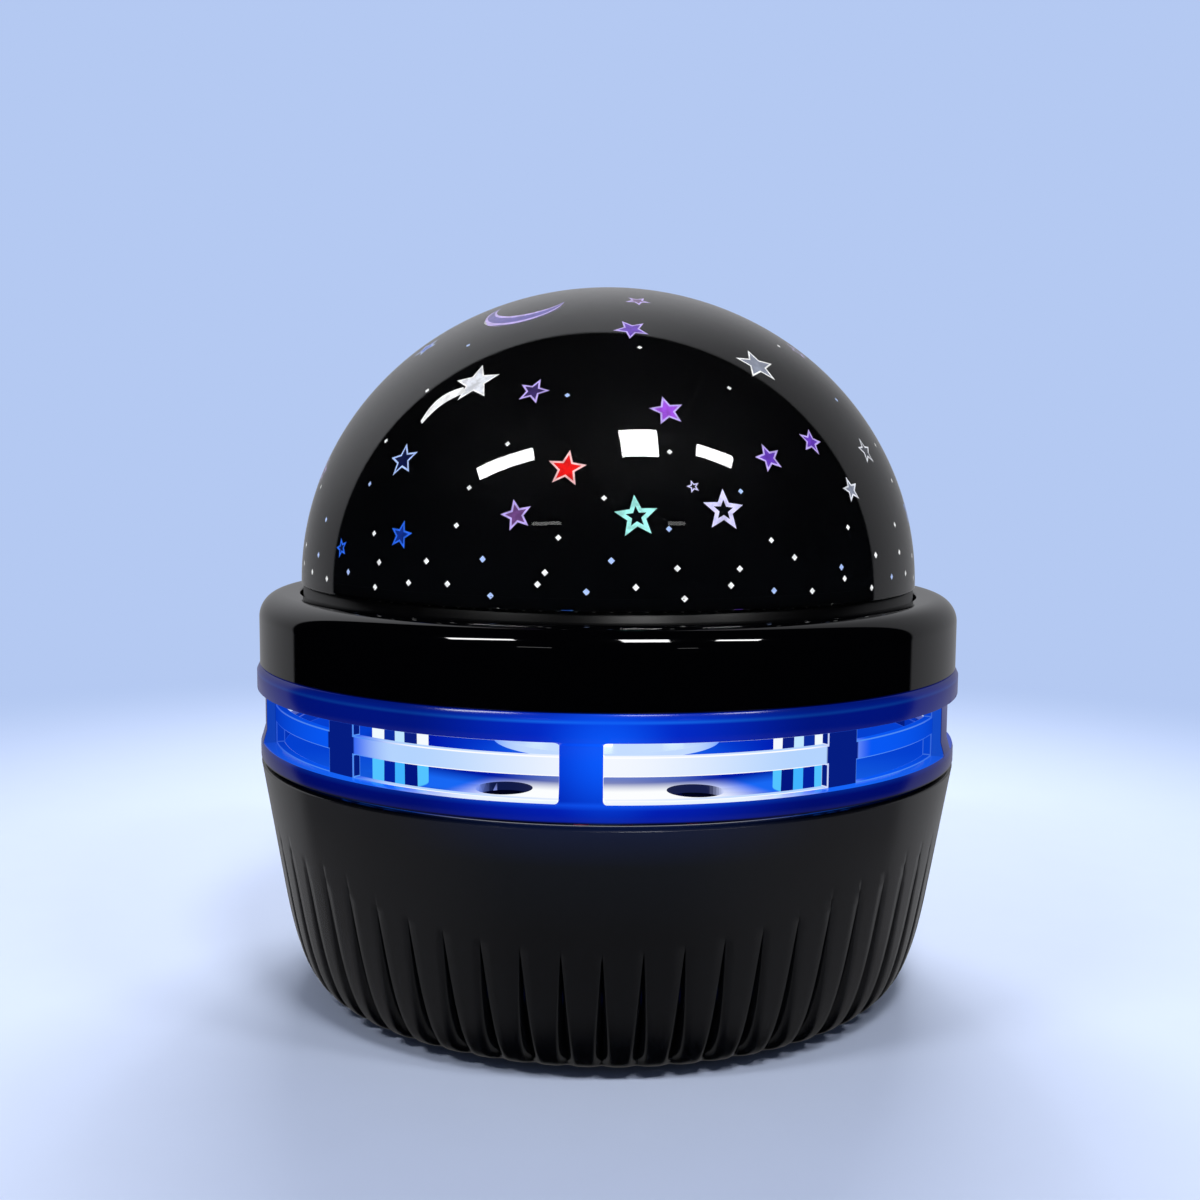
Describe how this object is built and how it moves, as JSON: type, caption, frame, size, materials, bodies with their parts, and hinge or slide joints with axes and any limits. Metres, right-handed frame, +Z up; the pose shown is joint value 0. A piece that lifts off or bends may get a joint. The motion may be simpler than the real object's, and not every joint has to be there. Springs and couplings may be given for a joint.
{
  "type": "star night light projector",
  "caption": "Dome-shaped night light: black fluted bowl, blue lit window ring, glossy collar and a turning dome whose star-shaped openings project stars.",
  "frame": {"origin": "on the resting surface, on the axis of the dome", "axes": "+Z up along the axis on which the dome turns; -Y is the front, +Y the rear panel with the buttons and the socket; +X is to the right seen from the front"},
  "size_m": [0.12, 0.12, 0.119],
  "materials": {
    "bowl_black": "satin moulded",
    "collar_black": "piano gloss",
    "seat_black": "semi gloss",
    "mask_black": "black film inside the clear dome",
    "dome_clear": "clear polished plastic",
    "ring_blue": "translucent blue, lit from inside",
    "lattice_blue": "clear blue, lit from inside",
    "tray_white": "satin white",
    "board_white": "white solder mask",
    "lamp_blue": "clear lamp body, blue light",
    "lamp_white": "clear lamp body",
    "inner_black": "moulded",
    "gear_grey": "moulded",
    "gear_white": "moulded acetal",
    "motor_steel": "drawn steel",
    "board_green": "green solder mask",
    "chip_black": "epoxy",
    "can_aluminium": "drawn",
    "plug_white": "moulded nylon",
    "wire_jacket": "soft insulation",
    "socket_metal": "nickel plated",
    "button_black": "satin moulded",
    "foot_rubber": "matte",
    "screw_steel": "zinc plated"
  },
  "bodies": {
    "base": {"bowl_housing": "bowl_black", "base_cover": "bowl_black", "rubber_feet": "foot_rubber", "window_ring": "ring_blue", "lattice_ring": "lattice_blue", "floor_plate": "tray_white", "ring_led_board": "board_white", "ring_leds": "lamp_blue", "motor_deck": "inner_black", "gearbox_case": "gear_grey", "motor_can": "motor_steel", "top_collar": "collar_black", "inner_cover": "inner_black", "star_led_board": "board_white", "star_leds": "lamp_white", "button_board": "board_green", "tact_switches": "inner_black", "usb_socket": "socket_metal", "control_board": "board_green", "control_chip": "chip_black", "capacitor": "can_aluminium", "wire_connectors": "plug_white", "lamp_wires": "wire_jacket", "motor_wires": "wire_jacket", "socket_wires": "wire_jacket", "tie_screws": "screw_steel", "cover_screws": "screw_steel", "motor_screws": "screw_steel", "inner_cover_screws": "screw_steel", "star_board_screws": "screw_steel", "control_board_screws": "screw_steel", "button_board_screws": "screw_steel"},
    "seat": {"dome_seat": "seat_black"},
    "dome": {"dome_shell": "dome_clear", "star_mask": "mask_black"},
    "pinion": {"drive_pinion": "gear_white", "motor_shaft": "motor_steel"},
    "light_button": {"light_button": "button_black"},
    "colour_button": {"colour_button": "button_black"},
    "turn_button": {"turn_button": "button_black"}
  },
  "joints": [
    {"name": "dome_spin", "type": "hinge", "parent": "base", "child": "seat", "pos_m": [0, 0, 0.06], "axis": [0, 0, 1], "continuous": true},
    {"name": "dome_lift", "type": "slide", "parent": "seat", "child": "dome", "axis": [0, 0, 1], "range_m": [0, 0.03]},
    {"name": "pinion_spin", "type": "hinge", "parent": "base", "child": "pinion", "pos_m": [0, 0.0375, 0.056], "axis": [0, 0, 1], "continuous": true},
    {"name": "light_press", "type": "slide", "parent": "base", "child": "light_button", "axis": [0, -1, 0], "range_m": [0, 0.0008], "stiffness_N_per_m": 400},
    {"name": "colour_press", "type": "slide", "parent": "base", "child": "colour_button", "axis": [0, -1, 0], "range_m": [0, 0.0008], "stiffness_N_per_m": 400},
    {"name": "turn_press", "type": "slide", "parent": "base", "child": "turn_button", "axis": [0, -1, 0], "range_m": [0, 0.0008], "stiffness_N_per_m": 400}
  ],
  "couplings": [
    {"joint": "pinion_spin", "follows": "dome_spin", "ratio": 6}
  ]
}
